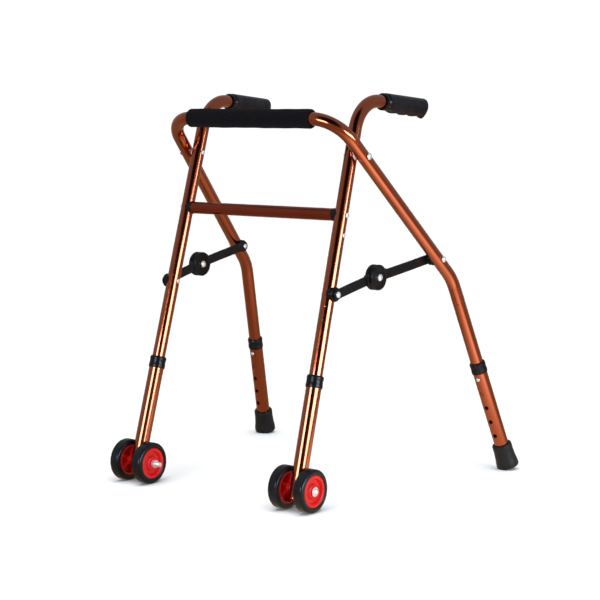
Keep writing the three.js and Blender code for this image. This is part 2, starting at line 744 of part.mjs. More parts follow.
for (const side of [1, -1]) {
  const hand = side > 0 ? 'left' : 'right';
  put(`${hand}_front_tube`, frontTube(side), bronze);
  put(`${hand}_hand_grip`, grip(side), black);
  put(`${hand}_crossbar_end`, crossbarEnd(side), black);
  put(`${hand}_crossbar_bolt`, crossbarBolt(side), steel);
  put(`${hand}_leg_rivet`, legRivet(side), steel);
  put(`${hand}_pivot_bolt`, pivotBolt(side), steel);
  put(`${hand}_pivot_spacer`, pivotSpacer(side), steel);
  put(`${hand}_brace_front_saddle`, frontSaddle(side), black);
  put(`${hand}_brace_front_bolt`, frontBraceBolt(side), steel);
  put(`${hand}_brace_front_link`, frontLink(side), black);
  put(`${hand}_brace_centre_head_inner`, centreHead(side, -1), steel);
  put(`${hand}_brace_rear_link`, rearLink(side), black);
  put(`${hand}_brace_centre_head_outer`, centreHead(side, 1), steel);
  put(`${hand}_brace_rear_saddle`, rearSaddle(side), black);
  put(`${hand}_brace_rear_bolt`, rearBraceBolt(side), steel);
  put(`${hand}_front_sleeve`, frontSleeve(side), bronze);
  put(`${hand}_front_collar`, collar(frontLegFrame(side), FRONT_HOLE_S), black);
  put(`${hand}_front_button`, snapButton(frontLegFrame(side), 1, FRONT_HOLE_S), white);
  put(`${hand}_rear_sleeve`, rearSleeve(side), bronze);
  put(`${hand}_rear_collar`, collar(rearLegFrame(side), REAR_HOLE_S), black);
  put(`${hand}_rear_button`, snapButton(rearLegFrame(side), -1, REAR_HOLE_S), white);
  put(`${hand}_rear_tip`, rearTip(side), rubber);
  put(`${hand}_axle_bolt`, axleBolt(side), steel);
  put(`${hand}_axle_nut`, axleNut(side), steel);
  for (const outer of [1, -1]) {
    const place = outer > 0 ? 'outer' : 'inner';
    put(`${hand}_${place}_tyre`, tyre(side, outer), rubber);
    put(`${hand}_${place}_hub`, hub(side, outer), red);
  }
}

export default walker;
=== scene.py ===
"""Folding front-wheeled walker: fine surfaces, materials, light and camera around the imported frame."""

import json
import math

import bmesh
import bpy
import numpy as np
from mathutils import Matrix, Vector

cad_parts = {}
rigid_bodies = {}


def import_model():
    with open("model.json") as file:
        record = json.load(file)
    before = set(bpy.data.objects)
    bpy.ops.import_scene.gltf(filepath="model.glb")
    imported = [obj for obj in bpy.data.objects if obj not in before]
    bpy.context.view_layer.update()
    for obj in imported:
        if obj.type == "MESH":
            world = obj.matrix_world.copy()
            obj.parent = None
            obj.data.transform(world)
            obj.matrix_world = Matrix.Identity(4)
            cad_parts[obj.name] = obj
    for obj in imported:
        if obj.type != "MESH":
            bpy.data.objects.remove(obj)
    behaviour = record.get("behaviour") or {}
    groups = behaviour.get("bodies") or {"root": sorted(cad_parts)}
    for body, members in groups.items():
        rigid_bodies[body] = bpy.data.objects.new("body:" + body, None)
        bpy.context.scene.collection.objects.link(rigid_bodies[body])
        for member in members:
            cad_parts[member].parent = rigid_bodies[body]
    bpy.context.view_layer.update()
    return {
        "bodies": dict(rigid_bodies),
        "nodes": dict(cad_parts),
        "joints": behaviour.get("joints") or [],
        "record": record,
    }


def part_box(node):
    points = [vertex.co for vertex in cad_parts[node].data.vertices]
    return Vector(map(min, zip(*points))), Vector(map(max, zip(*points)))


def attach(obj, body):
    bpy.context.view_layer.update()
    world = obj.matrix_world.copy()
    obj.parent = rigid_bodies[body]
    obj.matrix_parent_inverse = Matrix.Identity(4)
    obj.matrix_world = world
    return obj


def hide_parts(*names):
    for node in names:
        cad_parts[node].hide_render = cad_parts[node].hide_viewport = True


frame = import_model()

JOINTS = {j["name"]: j for j in frame["record"]["behaviour"]["joints"]}
SIDES = (("left", 1.0), ("right", -1.0))
X_AXIS = Vector((1, 0, 0))
Z_AXIS = Vector((0, 0, 1))

# Design sizes shared with the frame, in metres
TUBE_R = 0.0111
TUBE_BORE = 0.0097
SLEEVE_R = 0.0127
SLEEVE_BORE = 0.0115
HANDLE_BEND = 0.062
KNEE_BEND = 0.080
BAR_BEND = 0.056
HOLE_R = 0.0039
HOLE_PITCH = 0.0276
HOLE_COUNT = 5
STOP_AT = {"front": 0.3334, "rear": 0.3238}
STOP_TURN = math.radians(22)
DISC_R = 0.0214
DISC_T = 0.0073
LINK_W = 0.0163
LINK_T = 0.0036
EYE_R = 0.0088

# Sizes of the fine pieces, in metres: bolt holes and the rods that cut them, clearances, bolt head rims
BOLT_HOLE_R = 0.0033
THROUGH = 0.03
SNUG = 0.0002
GAP = 0.0003
HEAD_RIM = 0.0006

# Mesh fineness: sides of a round piece, and the angle in degrees that counts as a hard edge
SIDES_FINE = 48
HARD_EDGE = 35


# Mesh helpers ------------------------------------------------------------------


def place(node, shape, look, body, smooth=HARD_EDGE):
    """Makes the fine piece that stands for a node, smooth up to an angle, and rides it on a body."""
    verts, faces = shape
    name = f"{node}_fine"
    mesh = bpy.data.meshes.new(name)
    mesh.from_pydata([tuple(v) for v in verts], [], [tuple(f) for f in faces])
    mesh.validate()
    mesh.update()
    piece = bpy.data.objects.new(name, mesh)
    bpy.context.scene.collection.objects.link(piece)
    tidy(mesh, smooth)
    mesh.materials.append(look)
    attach(piece, body)
    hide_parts(node)
    return piece


def tidy(mesh, smooth):
    """Merges doubles, turns faces outwards and marks the hard edges."""
    bm = bmesh.new()
    bm.from_mesh(mesh)
    bmesh.ops.remove_doubles(bm, verts=bm.verts, dist=1e-6)
    bmesh.ops.recalc_face_normals(bm, faces=bm.faces)
    limit = math.radians(smooth)
    for face in bm.faces:
        face.smooth = True
    for edge in bm.edges:
        if len(edge.link_faces) == 2:
            edge.smooth = edge.calc_face_angle(0) < limit
    bm.to_mesh(mesh)
    bm.free()


def carve(piece, solids, operation):
    """Adds solids to a piece or takes them away, and keeps the result as its mesh."""
    for verts, faces in solids:
        mesh = bpy.data.meshes.new("solid")
        mesh.from_pydata([tuple(v) for v in verts], [], [tuple(f) for f in faces])
        tidy(mesh, 30)
        tool = bpy.data.objects.new("solid", mesh)
        bpy.context.scene.collection.objects.link(tool)
        step = piece.modifiers.new("carve", "BOOLEAN")
        step.operation, step.solver, step.object = operation, "EXACT", tool
        graph = bpy.context.evaluated_depsgraph_get()
        result = bpy.data.meshes.new_from_object(piece.evaluated_get(graph))
        piece.modifiers.clear()
        old, piece.data = piece.data, result
        bpy.data.meshes.remove(old)
        bpy.data.objects.remove(tool)
        bpy.data.meshes.remove(mesh)


def cut(piece, cutters):
    carve(piece, cutters, "DIFFERENCE")
    tidy(piece.data, HARD_EDGE)


def fuse(piece, solids):
    carve(piece, solids, "UNION")
    tidy(piece.data, HARD_EDGE)


def basis(axis):
    """Two unit vectors square to an axis; the first is as level as it can be."""
    axis = Vector(axis).normalized()
    level = axis.cross(Z_AXIS)
    first = level.normalized() if level.length > 1e-3 else Vector((1, 0, 0))
    return first, axis.cross(first).normalized()


def circle(sides):
    """Cosine and sine of equal steps round a circle."""
    angles = [2 * math.pi * i / sides for i in range(sides)]
    return [(math.cos(angle), math.sin(angle)) for angle in angles]


def quarter(centre, start, end, steps, first=0):
    """Quarter of an ellipse about a centre, from centre + start round to centre + end."""
    points = []
    for k in range(first, steps + 1):
        angle = math.pi / 2 * k / steps
        points.append(tuple(c + a * math.cos(angle) + b * math.sin(angle)
                            for c, a, b in zip(centre, start, end)))
    return points


def bands(rows):
    """Faces between each closed row of vertex numbers and the next, without doubled corners."""
    faces = []
    for a, b in zip(rows, rows[1:]):
        for i in range(len(a)):
            j = (i + 1) % len(a)
            corners = tuple(dict.fromkeys((a[i], a[j], b[j], b[i])))
            if len(corners) > 2:
                faces.append(corners)
    return faces


def lathe(profile, origin, axis, sides=SIDES_FINE):
    """Surface of revolution from (along, radius) points; closes on itself or on the axis."""
    axis = Vector(axis).normalized()
    origin = Vector(origin)
    u, v = basis(axis)
    verts, rows = [], []
    for along, radius in profile:
        centre = origin + axis * along
        if radius < 1e-7:
            rows.append([len(verts)] * sides)
            verts.append(centre)
            continue
        rows.append(range(len(verts), len(verts) + sides))
        verts += [centre + (u * c + v * q) * radius for c, q in circle(sides)]
    return verts, bands(rows)


def rounded(points, radius, steps=4):
    """Fillets the inner corners of an open line of (along, radius) points."""
    out = [points[0]]
    for before, corner, after in zip(points, points[1:], points[2:]):
        a, c, b = (np.array(p, float) for p in (before, corner, after))
        ta, tb = a - c, b - c
        la, lb = np.linalg.norm(ta), np.linalg.norm(tb)
        r = min(radius, la * 0.45, lb * 0.45)
        ta, tb = ta / la, tb / lb
        for k in range(steps + 1):
            t = k / steps
            p = c + ta * r * (1 - t) ** 2 + tb * r * t**2
            out.append((float(p[0]), float(p[1])))
    out.append(points[-1])
    return out


def loop(points, radius, steps=4):
    """Fillets every corner of a closed line of (along, radius) points and closes it."""
    ring = rounded([points[-1], *points, points[0]], radius, steps)[1:-1]
    return [*ring, ring[0]]


def tube_path(corners, radii):
    """Points and tangents along straight runs joined by circular bends."""
    path = [(corners[0], (corners[1] - corners[0]).normalized())]
    for before, corner, after, radius in zip(corners, corners[1:], corners[2:], radii):
        a, b = (corner - before).normalized(), (after - corner).normalized()
        turn = a.angle(b)
        axis = a.cross(b).normalized()
        start = corner - a * radius * math.tan(turn / 2)
        centre = start + axis.cross(a) * radius
        steps = max(6, round(math.degrees(turn) / 4))
        for k in range(steps + 1):
            spin = Matrix.Rotation(turn * k / steps, 3, axis)
            path.append((centre + spin @ (start - centre), spin @ a))
    path.append((corners[-1], (corners[-1] - corners[-2]).normalized()))
    return path


def straight(a, b, steps=1):
    along = (b - a).normalized()
    return [(a.lerp(b, k / steps), along) for k in range(steps + 1)]


def pipe(path, outer, inner):
    """Open-ended pipe with rounded rims along a path of (point, tangent)."""
    first = basis(path[0][1])[0]
    frames = []
    for point, tangent in path:
        first = (first - tangent * first.dot(tangent)).normalized()
        frames.append((point, first.copy(), tangent.cross(first)))
    rim = (outer - inner) * 0.3
    verts, rows = [], []

    def ring(frame, radius, shift=Vector((0, 0, 0))):
        point, u, v = frame
        rows.append(range(len(verts), len(verts) + SIDES_FINE))
        verts.extend(point + shift + (u * c + v * q) * radius for c, q in circle(SIDES_FINE))

    ring(frames[0], outer - rim)
    ring(frames[0], outer, path[0][1] * rim)
    for item in frames[1:-1]:
        ring(item, outer)
    ring(frames[-1], outer, -path[-1][1] * rim)
    ring(frames[-1], outer - rim)
    ring(frames[-1], inner)
    for item in reversed(frames[1:-1]):
        ring(item, inner)
    ring(frames[0], inner)
    rows.append(rows[0])
    return verts, bands(rows)


def rod(a, b, radius, sides=32):
    a, b = Vector(a), Vector(b)
    length = (b - a).length
    return lathe([(0, 0), (0, radius), (length, radius), (length, 0)], a, b - a, sides)


def rod_across(point, radius=BOLT_HOLE_R, reach=THROUGH):
    """Rod along X through a point."""
    return rod(point - X_AXIS * reach, point + X_AXIS * reach, radius)


def tube_room(point, axis, reach=0.05):
    """Rod that leaves room for a frame tube through a point."""
    return rod(point - axis * reach, point + axis * reach, TUBE_R + SNUG, SIDES_FINE)


def join_parts(*parts):
    """Several (verts, faces) as one."""
    verts, faces = [], []
    for v, f in parts:
        base = len(verts)
        verts += list(v)
        faces += [tuple(i + base for i in face) for face in f]
    return verts, faces


# Places read from the frame ----------------------------------------------------


def points_of(node):
    return np.array([v.co for v in frame["nodes"][node].data.vertices], float)


def middle(node):
    low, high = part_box(node)
    return (low + high) / 2


def near_far(node):
    """Least and greatest distance of a node from the middle plane."""
    low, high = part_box(node)
    return sorted((abs(low.x), abs(high.x)))


def about_x(node):
    """Centre (y, z) and radius of a node that is round about an axis along X."""
    low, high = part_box(node)
    return (low.y + high.y) / 2, (low.z + high.z) / 2, (high.z - low.z) / 2


def span(node, point, axis):
    """Where a node starts and ends along a line, and how far it reaches from the line."""
    p, u = np.array(point), np.array(axis)
    offset = points_of(node) - p
    t = offset @ u
    far = np.linalg.norm(offset - np.outer(t, u), axis=1).max()
    return float(t.min()), float(t.max()), float(far)


def joint_point(name):
    return Vector(JOINTS[name]["pos_m"])


def leg_axis(hand, end):
    return Vector(JOINTS[f"{hand}_{end}_leg_height"]["axis"]).normalized()


def near(node, keep):
    """Centre of a node's vertices that pass a test."""
    co = points_of(node)
    return Vector(co[keep(co)].mean(0))


def line_meet(p, u, q, v):
    """Point midway between two lines where they come closest."""
    w = p - q
    b = u.dot(v)
    d, e = u.dot(w), v.dot(w)
    k = 1 - b * b
    s, t = (b * e - d) / k, (e - b * d) / k
    return (p + u * s + q + v * t) / 2


class Side:
    """Lines and pivots of one side of the walker."""

    def __init__(self, hand, sign):
        self.hand, self.sign = hand, sign
        self.out = X_AXIS * sign
        self.front_up = leg_axis(hand, "front")
        self.rear_up = leg_axis(hand, "rear")
        wheels = [joint_point(f"{hand}_{where}_wheel_spin") for where in ("outer", "inner")]
        self.axle = (wheels[0] + wheels[1]) / 2
        self.front = self.axle
        self.rear = middle(f"{hand}_rear_sleeve")
        self.brace_front = joint_point(f"{hand}_brace_front_pivot")
        self.brace_rear = joint_point(f"{hand}_brace_rear_pivot")
        fold = joint_point("rear_frame_fold")
        self.brace_mid = middle(f"{hand}_brace_centre_head_outer")
        self.pivot = self.on_front(fold.z)
        self.pivot_rear = near("rear_frame_tube", lambda co: (co[:, 0] * sign > 0)
                               & (np.hypot(co[:, 1] - fold.y, co[:, 2] - fold.z) < 0.006))
        self.pivot_rear.y, self.pivot_rear.z = fold.y, fold.z
        grip_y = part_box(f"{hand}_hand_grip")[0].y
        tube = f"{hand}_front_tube"
        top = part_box(tube)[1].y
        self.handle_end = near(tube, lambda co: co[:, 1] > top - 0.004)
        bend_end = near(tube, lambda co: (co[:, 1] > grip_y - 0.010) & (co[:, 1] < grip_y))
        self.handle_dir = (self.handle_end - bend_end).normalized()
        self.corner = line_meet(self.front, self.front_up, self.handle_end, self.handle_dir)
        upper = (self.pivot_rear - self.brace_rear).normalized()
        bar = middle("front_bar_foam_pad")
        self.bar_corner = self.brace_rear + upper * ((bar.z - self.brace_rear.z) / upper.z)
        self.knee = line_meet(self.rear, self.rear_up, self.brace_rear, upper)
        self.upper = upper

    def on_front(self, z):
        return self.front + self.front_up * ((z - self.front.z) / self.front_up.z)


# Materials ---------------------------------------------------------------------


class Look:
    """A node material built step by step around one Principled shader."""

    def __init__(self, name, colour, roughness, metallic=0.0, **sockets):
        self.material = bpy.data.materials.new(name)
        self.material.use_nodes = True
        self.tree = self.material.node_tree
        self.shader = self.tree.nodes["Principled BSDF"]
        self.shader.inputs["Base Color"].default_value = (*colour, 1)
        self.shader.inputs["Roughness"].default_value = roughness
        self.shader.inputs["Metallic"].default_value = metallic
        for key, value in sockets.items():
            socket = self.shader.inputs[key.replace("_", " ")]
            socket.default_value = value
        self.coordinates = self.tree.nodes.new("ShaderNodeTexCoord")
        self.height = None

    def node(self, kind, **values):
        made = self.tree.nodes.new(kind)
        for key, value in values.items():
            if key in made.inputs.keys():
                made.inputs[key].default_value = value
            else:
                setattr(made, key, value)
        return made

    def link(self, a, b):
        self.tree.links.new(a, b)

    def stretched(self, scale):
        mapping = self.node("ShaderNodeMapping")
        mapping.inputs["Scale"].default_value = scale
        self.link(self.coordinates.outputs["Object"], mapping.inputs["Vector"])
        return mapping.outputs["Vector"]

    def noise(self, scale, detail=4.0, roughness=0.55, stretch=(1, 1, 1)):
        made = self.node("ShaderNodeTexNoise", Scale=scale, Detail=detail, Roughness=roughness)
        self.link(self.stretched(stretch), made.inputs["Vector"])
        return made.outputs["Fac"]

    def cells(self, scale):
        made = self.node("ShaderNodeTexVoronoi", Scale=scale)
        self.link(self.stretched((1, 1, 1)), made.inputs["Vector"])
        return made.outputs["Distance"]

    def ramp(self, value, stops):
        made = self.node("ShaderNodeValToRGB")
        ramp = made.color_ramp
        while len(ramp.elements) < len(stops):
            ramp.elements.new(0.5)
        for element, (at, colour) in zip(ramp.elements, stops):
            element.position = at
            element.color = (*colour, 1)
        self.link(value, made.inputs["Fac"])
        return made.outputs["Color"]

    def remap(self, value, low, high, start=0.0, stop=1.0):
        made = self.node("ShaderNodeMapRange")
        for key, number in zip(("From Min", "From Max", "To Min", "To Max"), (start, stop, low, high)):
            made.inputs[key].default_value = number
        self.link(value, made.inputs["Value"])
        return made.outputs["Result"]

    def mix(self, factor, a, b):
        made = self.node("ShaderNodeMix", data_type="RGBA")
        for socket, value in ((made.inputs[0], factor), (made.inputs[6], a), (made.inputs[7], b)):
            if hasattr(value, "is_output"):
                self.link(value, socket)
            elif isinstance(value, (int, float)):
                socket.default_value = value
            else:
                socket.default_value = (*value, 1)
        return made.outputs[2]

    def colour(self, socket):
        self.link(socket, self.shader.inputs["Base Color"])
        return self

    def rough(self, socket):
        self.link(socket, self.shader.inputs["Roughness"])
        return self

    def bump(self, height, strength, distance):
        made = self.node("ShaderNodeBump", Strength=strength, Distance=distance)
        self.link(height, made.inputs["Height"])
        if self.height is not None:
            self.link(self.height, made.inputs["Normal"])
        self.height = made.outputs["Normal"]
        self.link(self.height, self.shader.inputs["Normal"])
        return self


def anodised(name, deep, mid, coat=1.0):
    """Glossy dyed aluminium: clear deep colour, slightly cloudy, with faint smudges."""
    look = Look(name, mid, 0.13, 1.0, Coat_Weight=coat, Coat_Roughness=0.05, Coat_IOR=1.56)
    cloud = look.noise(9, 3, 0.5, (1, 1, 0.35))
    look.colour(look.ramp(cloud, [(0.3, deep), (0.7, mid)]))
    smudge = look.noise(45, 5, 0.6)
    look.rough(look.remap(smudge, 0.10, 0.17, 0.3, 0.7))
    look.bump(look.noise(14, 2, 0.4), 0.01, 0.0004)
    return look.material


def moulded(name, colour, rough_low, rough_high, grain, strength, **sockets):
    """Moulded plastic with a fine spark-eroded grain and slight scuffs."""
    look = Look(name, colour, rough_low, **sockets)
    cloud = look.noise(30, 4, 0.55)
    light = tuple(min(1, c * 1.35 + 0.004) for c in colour)
    dark = tuple(c * 0.75 for c in colour)
    look.colour(look.ramp(cloud, [(0.3, dark), (0.7, light)]))
    look.rough(look.remap(look.noise(70, 5, 0.6), rough_low, rough_high, 0.3, 0.7))
    look.bump(look.noise(grain, 3, 0.5), strength, 0.0002)
    return look.material


def plated(name, colour, roughness):
    """Bright plated steel with fine turning marks."""
    look = Look(name, colour, roughness, 0.75)
    cloud = look.noise(120, 3, 0.5)
    look.colour(look.ramp(cloud, [(0.3, tuple(c * 0.88 for c in colour)), (0.7, colour)]))
    look.rough(look.remap(look.noise(500, 4, 0.6), roughness * 0.7, roughness * 1.5, 0.3, 0.7))
    look.bump(look.noise(900, 2, 0.5), 0.05, 0.0001)
    return look.material


def foam_look():
    """Closed-cell foam: matt skin with fine pores."""
    look = Look("foam_skin", (0.003, 0.003, 0.004), 0.9, Sheen_Weight=0.015, Sheen_Roughness=0.6,
                Specular_IOR_Level=0.05)
    pores = look.cells(1500)
    soft = look.noise(350, 5, 0.65)
    cell_shade = look.mix(0.5, pores, soft)
    look.colour(look.ramp(cell_shade, [(0.2, (0.0015, 0.0015, 0.002)), (0.7, (0.005, 0.0045, 0.006))]))
    look.rough(look.remap(soft, 0.78, 0.95))
    look.bump(look.noise(55, 3, 0.5), 0.12, 0.002)
    look.bump(soft, 0.35, 0.0008)
    look.bump(pores, 0.4, 0.0004)
    return look.material


def rubber_look(name, colour, low, high):
    look = Look(name, colour, low, Sheen_Weight=0.02, Sheen_Roughness=0.5, Specular_IOR_Level=0.3)
    dust = look.noise(60, 6, 0.62)
    look.colour(look.ramp(dust, [(0.35, colour), (0.8, tuple(c * 2.0 + 0.002 for c in colour))]))
    look.rough(look.remap(look.noise(160, 5, 0.6), low, high, 0.3, 0.7))
    look.bump(look.noise(700, 4, 0.55), 0.2, 0.0003)
    return look.material


def hub_look():
    look = Look("red_hub_plastic", (0.60, 0.008, 0.007), 0.32, Specular_IOR_Level=0.3)
    cloud = look.noise(40, 4, 0.5)
    look.colour(look.ramp(cloud, [(0.3, (0.54, 0.006, 0.006)), (0.7, (0.66, 0.011, 0.009))]))
    look.rough(look.remap(look.noise(120, 5, 0.6), 0.24, 0.4, 0.3, 0.7))
    look.bump(look.noise(600, 3, 0.5), 0.06, 0.0002)
    return look.material


BRONZE = anodised("bronze_anodised", (0.44, 0.080, 0.018), (0.53, 0.108, 0.028))
BRONZE_DARK = anodised("dark_bronze_anodised", (0.32, 0.052, 0.022), (0.39, 0.072, 0.034), 0.3)
PLASTIC = moulded("black_moulded_plastic", (0.003, 0.003, 0.004), 0.16, 0.26, 900, 0.05,
                  Specular_IOR_Level=0.24)
GRIP = moulded("grip_vinyl", (0.003, 0.003, 0.006), 0.18, 0.28, 700, 0.06, Specular_IOR_Level=0.34)
RUBBER = rubber_look("tip_rubber", (0.005, 0.005, 0.006), 0.34, 0.5)
TYRE = rubber_look("tyre_rubber", (0.0025, 0.003, 0.0045), 0.18, 0.28)
FOAM = foam_look()
STEEL = plated("bright_steel", (0.92, 0.92, 0.93), 0.3)
BUTTON = plated("button_plate", (0.86, 0.86, 0.86), 0.16)
HUB = hub_look()


# Frame tubes -------------------------------------------------------------------


def leg_stop(s, end):
    """Small dome on a leg that stops the collar, facing forwards and to the left."""
    point, up = (s.front, s.front_up) if end == "front" else (s.rear, s.rear_up)
    foot = point - up * (point.z / up.z)
    back = (Vector((0, 1, 0)) - up * up.y).normalized()
    out = back.cross(up) * math.sin(STOP_TURN) - back * math.cos(STOP_TURN)
    profile = [(0, 0), (0, 0.0018), (0.0006, 0.0018), (0.0011, 0.0014), (0.0013, 0.0007), (0.0013, 0)]
    return lathe(profile, foot + up * STOP_AT[end] + out * (TUBE_R - 0.0005), out, 20)


def front_tube(s):
    name = f"{s.hand}_front_tube"
    tail = s.front + s.front_up * span(name, s.front, s.front_up)[0]
    shape = pipe(tube_path([tail, s.corner, s.handle_end], [HANDLE_BEND]), TUBE_R, TUBE_BORE)
    piece = place(name, shape, BRONZE, "front_frame")
    bolts = [middle(f"{s.hand}_{part}") for part in ("crossbar_bolt", "pivot_bolt", "brace_front_bolt")]
    cutters = [rod_across(s.on_front(at.z)) for at in bolts]
    rivet = s.on_front(middle(f"{s.hand}_leg_rivet").z)
    cutters.append(rod(rivet, rivet + s.out * THROUGH, BOLT_HOLE_R))
    cut(piece, cutters)
    fuse(piece, [leg_stop(s, "front")])


def rear_tube(left, right):
    """One bent tube: rear leg, knee, side tube, padded bar, and the same down the other side."""
    name = "rear_frame_tube"
    co = points_of(name)
    ends = []
    for s in (left, right):
        along = (co[co[:, 0] * s.sign > 0] - np.array(s.rear)) @ np.array(s.rear_up)
        ends.append(s.rear + s.rear_up * float(along.min()))
    corners = [ends[0], left.knee, left.bar_corner, right.bar_corner, right.knee, ends[1]]
    path = tube_path(corners, [KNEE_BEND, BAR_BEND, BAR_BEND, KNEE_BEND])
    piece = place(name, pipe(path, TUBE_R, TUBE_BORE), BRONZE, "rear_frame")
    cut(piece, [rod_across(point) for s in (left, right) for point in (s.pivot_rear, s.brace_rear)])
    fuse(piece, [leg_stop(left, "rear"), leg_stop(right, "rear")])


def crossbar():
    name = "front_crossbar"
    low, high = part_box(name)
    centre, half, radius = (low + high) / 2, (high.x - low.x) / 2, (high.z - low.z) / 2
    shape = pipe(straight(centre - X_AXIS * half, centre + X_AXIS * half, 4), radius, radius - 0.0013)
    place(name, shape, BRONZE_DARK, "front_frame")


def crossbar_end(s):
    """Moulded end piece: a plug inside the crossbar and a collar up to the leg."""
    name = f"{s.hand}_crossbar_end"
    y, z, radius = about_x(name)
    leg = s.on_front(z)
    inner, face, outer = near_far(name)[0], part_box("front_crossbar")[1].x + GAP, abs(leg.x) - 0.002
    plug_r = radius - 0.0024
    profile = rounded([(inner, 0), (inner, plug_r), (face, plug_r), (face, radius),
                       (outer, radius), (outer, 0)], 0.0009)
    shape = lathe(profile, Vector((0, y, z)), s.out)
    piece = place(name, shape, PLASTIC, "front_frame")
    cut(piece, [tube_room(leg, s.front_up), rod_across(leg, reach=0.05)])


# Fasteners ---------------------------------------------------------------------


def dome(at, radius, height, towards):
    """Half outline of a domed head from its rim to the axis."""
    crown = quarter((at + towards * HEAD_RIM, 0), (0, radius), (towards * (height - HEAD_RIM), 0), 8)
    return [(at, radius * 0.97), (at + towards * HEAD_RIM / 2, radius), *crown]


def head(co, y, z, at_high):
    """Base and radius of the head at one end of a bolt's points, given as (outward, y, z)."""
    middle_x = (co[:, 0].min() + co[:, 0].max()) / 2
    half = co[co[:, 0] > middle_x] if at_high else co[co[:, 0] < middle_x]
    reach = np.hypot(half[:, 1] - y, half[:, 2] - z)
    base = half[reach > reach.max() - 0.0001][:, 0]
    return float(base.min() if at_high else base.max()), float(reach.max())


def bolt(s, part, body, shank=0.003):
    """Domed heads and shank rebuilt on a node's own points, along X."""
    name = f"{s.hand}_{part}"
    y, z, _ = about_x(name)
    co = points_of(name) * np.array([s.sign, 1, 1])
    x0, x1 = float(co[:, 0].min()), float(co[:, 0].max())
    first, inner_r = head(co, y, z, False)
    last, outer_r = head(co, y, z, True)
    profile = [(x0, 0), (x0, shank)]
    if inner_r > shank * 1.1:
        profile = [*dome(first, inner_r, first - x0, -1)[::-1], (first, shank)]
    profile += [(last, shank), *dome(last, outer_r, x1 - last, 1)]
    place(name, lathe(profile, Vector((0, y, z)), s.out, 32), STEEL, body)


def centre_head(s, part, body, towards):
    name = f"{s.hand}_{part}"
    low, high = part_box(name)
    height, face = high.x - low.x, s.out * towards
    base = (low + high) / 2 - face * height / 2
    profile = [(0, 0), *dome(0, (high.z - low.z) / 2, height, 1)]
    place(name, lathe(profile, base, face, 32), STEEL, body)


def pivot_spacer(s):
    """Steel bush with a stepped face between the front leg and the rear side tube."""
    name = f"{s.hand}_pivot_spacer"
    leg, face, radius = s.pivot, near_far(name)[1], about_x(name)[2]
    start, step, bore, lip_r = abs(leg.x) + 0.006, face - 0.0012, 0.0034, radius * 0.86
    profile = loop([(start, bore), (start, radius), (step, radius), (step, lip_r), (face, lip_r),
                    (face, bore)], 0.0004, 3)
    shape = lathe(profile, Vector((0, leg.y, leg.z)), s.out)
    piece = place(name, shape, STEEL, "front_frame")
    cut(piece, [tube_room(leg, s.front_up)])


# Foam pad and grips ------------------------------------------------------------


def foam_pad():
    """Foam sleeve: softly waved outer skin, rounded ends, open bore."""
    name = "front_bar_foam_pad"
    low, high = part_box(name)
    centre = (low + high) / 2
    half, radius, bore = (high.x - low.x) / 2, (high.z - low.z) / 2, TUBE_R + GAP
    edge, flat, steps = 0.0032, radius - 0.0042, 120
    left = quarter((-half + edge, radius - edge), (-edge, 0), (0, edge), 6)
    right = quarter((half - edge, radius - edge), (0, edge), (edge, 0), 6)
    skin = [(-half + edge + 2 * (half - edge) * k / steps, radius) for k in range(1, steps)]
    profile = [(-half, bore), (-half, flat), *left, *skin, *right, (half, flat), (half, bore), (-half, bore)]
    verts, faces = lathe(profile, centre, X_AXIS, 64)
    soft = []
    for v in verts:
        d = Vector((0, v.y - centre.y, v.z - centre.z))
        angle = math.atan2(d.z, d.y)
        depth = max(0.0, (d.length - bore - 0.001) / (radius - bore))
        wave = 0.00022 * math.sin(v.x * 61 + 1.3 * math.sin(angle))
        wave += 0.00018 * math.sin(v.x * 143 + 2 * angle)
        soft.append(v + d.normalized() * wave * depth)
    piece = place(name, (soft, faces), FOAM, "rear_frame", 50)


def smooth_step(a, b, x):
    t = min(1.0, max(0.0, (x - a) / (b - a)))
    return t * t * (3 - 2 * t)


# Underside of the grip in mm along and below its axis: foot, crest and shoulder of each ridge, and its notch
GRIP_NECK = 13.2
GRIP_NOTCH = 13.9
GRIP_RIDGES = (
    ((20, 13.7), (31, 17.2), (38, 16.3), 45.5),
    ((47, 14.2), (57, 18.0), (64, 17.0), 73.5),
    ((75, 14.2), (84.5, 17.8), (92, 16.8), 102),
)
GRIP_TOOTH = ((104, 14.8), (110.6, 20.1), (111.5, 20.1))
GRIP_SOCKET = 0.100


def grip_underside():
    """Outline below the grip: neck, three finger ridges with flat crests, and the tooth at the end."""
    points = [(0, GRIP_NECK), (17.5, GRIP_NECK)]
    for foot, (crest, depth), shoulder, notch in GRIP_RIDGES:
        points += [foot, (crest - 5, depth - 0.5), (crest - 2.5, depth), (crest + 2, depth), shoulder,
                   (notch, GRIP_NOTCH)]
    return [*points, *GRIP_TOOTH]


GRIP_BELOW = grip_underside()


def grip_depth(t):
    """How far the underside of the grip hangs below its axis, softened along its length."""
    places, depths = zip(*GRIP_BELOW)
    near_by = t * 1000 + np.linspace(-0.9, 0.9, 7)
    return float(np.interp(near_by, places, depths).mean()) / 1000


def soft_least(a, b):
    """The lesser of two lengths, blended where they are within about half a millimetre."""
    blend = 0.0005
    return -blend * math.log(math.exp(-a / blend) + math.exp(-b / blend))


